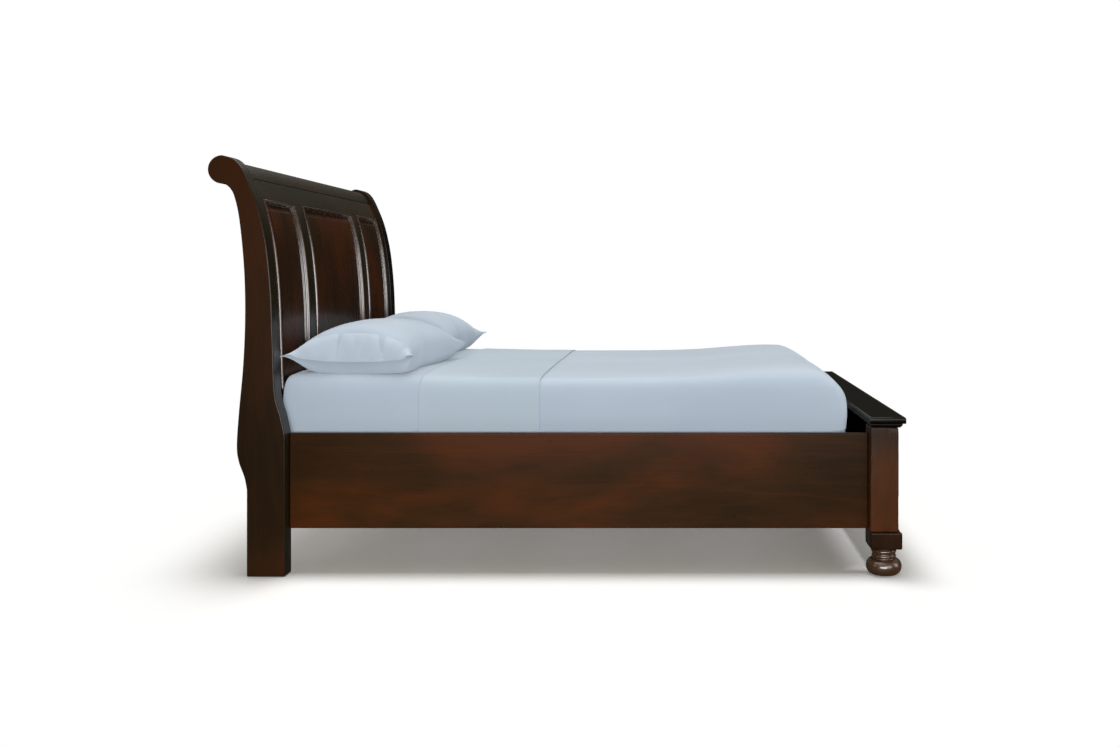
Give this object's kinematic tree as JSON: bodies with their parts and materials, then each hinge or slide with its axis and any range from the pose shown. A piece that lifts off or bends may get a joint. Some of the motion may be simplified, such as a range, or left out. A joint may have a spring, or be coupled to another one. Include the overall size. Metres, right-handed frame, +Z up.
{
  "type": "sleigh bed",
  "caption": "Dark cherry sleigh bed with an S-curved panelled headboard, deep side rails and a low capped footboard on bun feet, made up with mattress, sheets and pillows.",
  "frame": {"origin": "on the floor, at the bottom centre of the whole bed's bounding box", "axes": "+X along the bed from the headboard to the footboard, +Y to the sleeper's left, +Z up"},
  "size_m": [2.4914, 1.744, 1.507],
  "materials": {
    "dark_wood": "satin",
    "blackened_wood": "satin",
    "pine": "matte",
    "zinc_steel": "satin",
    "ticking": "matte",
    "blue_cotton": "matte"
  },
  "bodies": {
    "bed_frame": {"bun_foot_left": "dark_wood", "bun_foot_right": "dark_wood", "crest_roll": "dark_wood", "foot_bolt_left": "zinc_steel", "foot_bolt_right": "zinc_steel", "foot_bracket_left": "zinc_steel", "foot_bracket_right": "zinc_steel", "foot_cap": "blackened_wood", "foot_cap_moulding": "blackened_wood", "foot_plinth_left": "dark_wood", "foot_plinth_right": "dark_wood", "foot_post_left": "dark_wood", "foot_post_right": "dark_wood", "footboard_bottom_rail": "dark_wood", "footboard_inner_board": "dark_wood", "footboard_moulding_centre": "dark_wood", "footboard_moulding_left": "dark_wood", "footboard_moulding_right": "dark_wood", "footboard_mullion_left": "dark_wood", "footboard_mullion_right": "dark_wood", "footboard_panel_centre": "dark_wood", "footboard_panel_left": "dark_wood", "footboard_panel_right": "dark_wood", "footboard_top_rail": "dark_wood", "head_bolt_left": "zinc_steel", "head_bolt_right": "zinc_steel", "head_bracket_left": "zinc_steel", "head_bracket_right": "zinc_steel", "head_post_left": "dark_wood", "head_post_right": "dark_wood", "headboard_bottom_rail": "dark_wood", "headboard_moulding_centre": "dark_wood", "headboard_moulding_left": "dark_wood", "headboard_moulding_right": "dark_wood", "headboard_mullion_left": "dark_wood", "headboard_mullion_right": "dark_wood", "headboard_panel_centre": "dark_wood", "headboard_panel_left": "dark_wood", "headboard_panel_right": "dark_wood", "headboard_stile_left": "dark_wood", "headboard_stile_right": "dark_wood", "headboard_top_rail": "dark_wood", "side_rail_left": "dark_wood", "side_rail_right": "dark_wood", "slat_1": "pine", "slat_2": "pine", "slat_3": "pine", "slat_4": "pine", "slat_cleat_left": "pine", "slat_cleat_right": "pine", "slat_leg_1": "pine", "slat_leg_2": "pine", "slat_leg_3": "pine", "slat_leg_4": "pine"},
    "foundation": {"foundation": "ticking"},
    "mattress": {"mattress": "ticking", "fitted_sheet": "blue_cotton", "flat_sheet": "blue_cotton"},
    "pillow_right": {"pillow_right": "blue_cotton"},
    "pillow_left": {"pillow_left": "blue_cotton"}
  },
  "joints": [
    {"name": "foundation_lift", "type": "slide", "parent": "bed_frame", "child": "foundation", "axis": [0, 0, 1], "range_m": [0, 0.4]},
    {"name": "mattress_lift", "type": "slide", "parent": "foundation", "child": "mattress", "axis": [0, 0, 1], "range_m": [0, 0.25]},
    {"name": "pillow_right_lift", "type": "slide", "parent": "mattress", "child": "pillow_right", "axis": [0, 0, 1], "range_m": [0, 0.25]},
    {"name": "pillow_left_lift", "type": "slide", "parent": "mattress", "child": "pillow_left", "axis": [0, 0, 1], "range_m": [0, 0.25]}
  ]
}
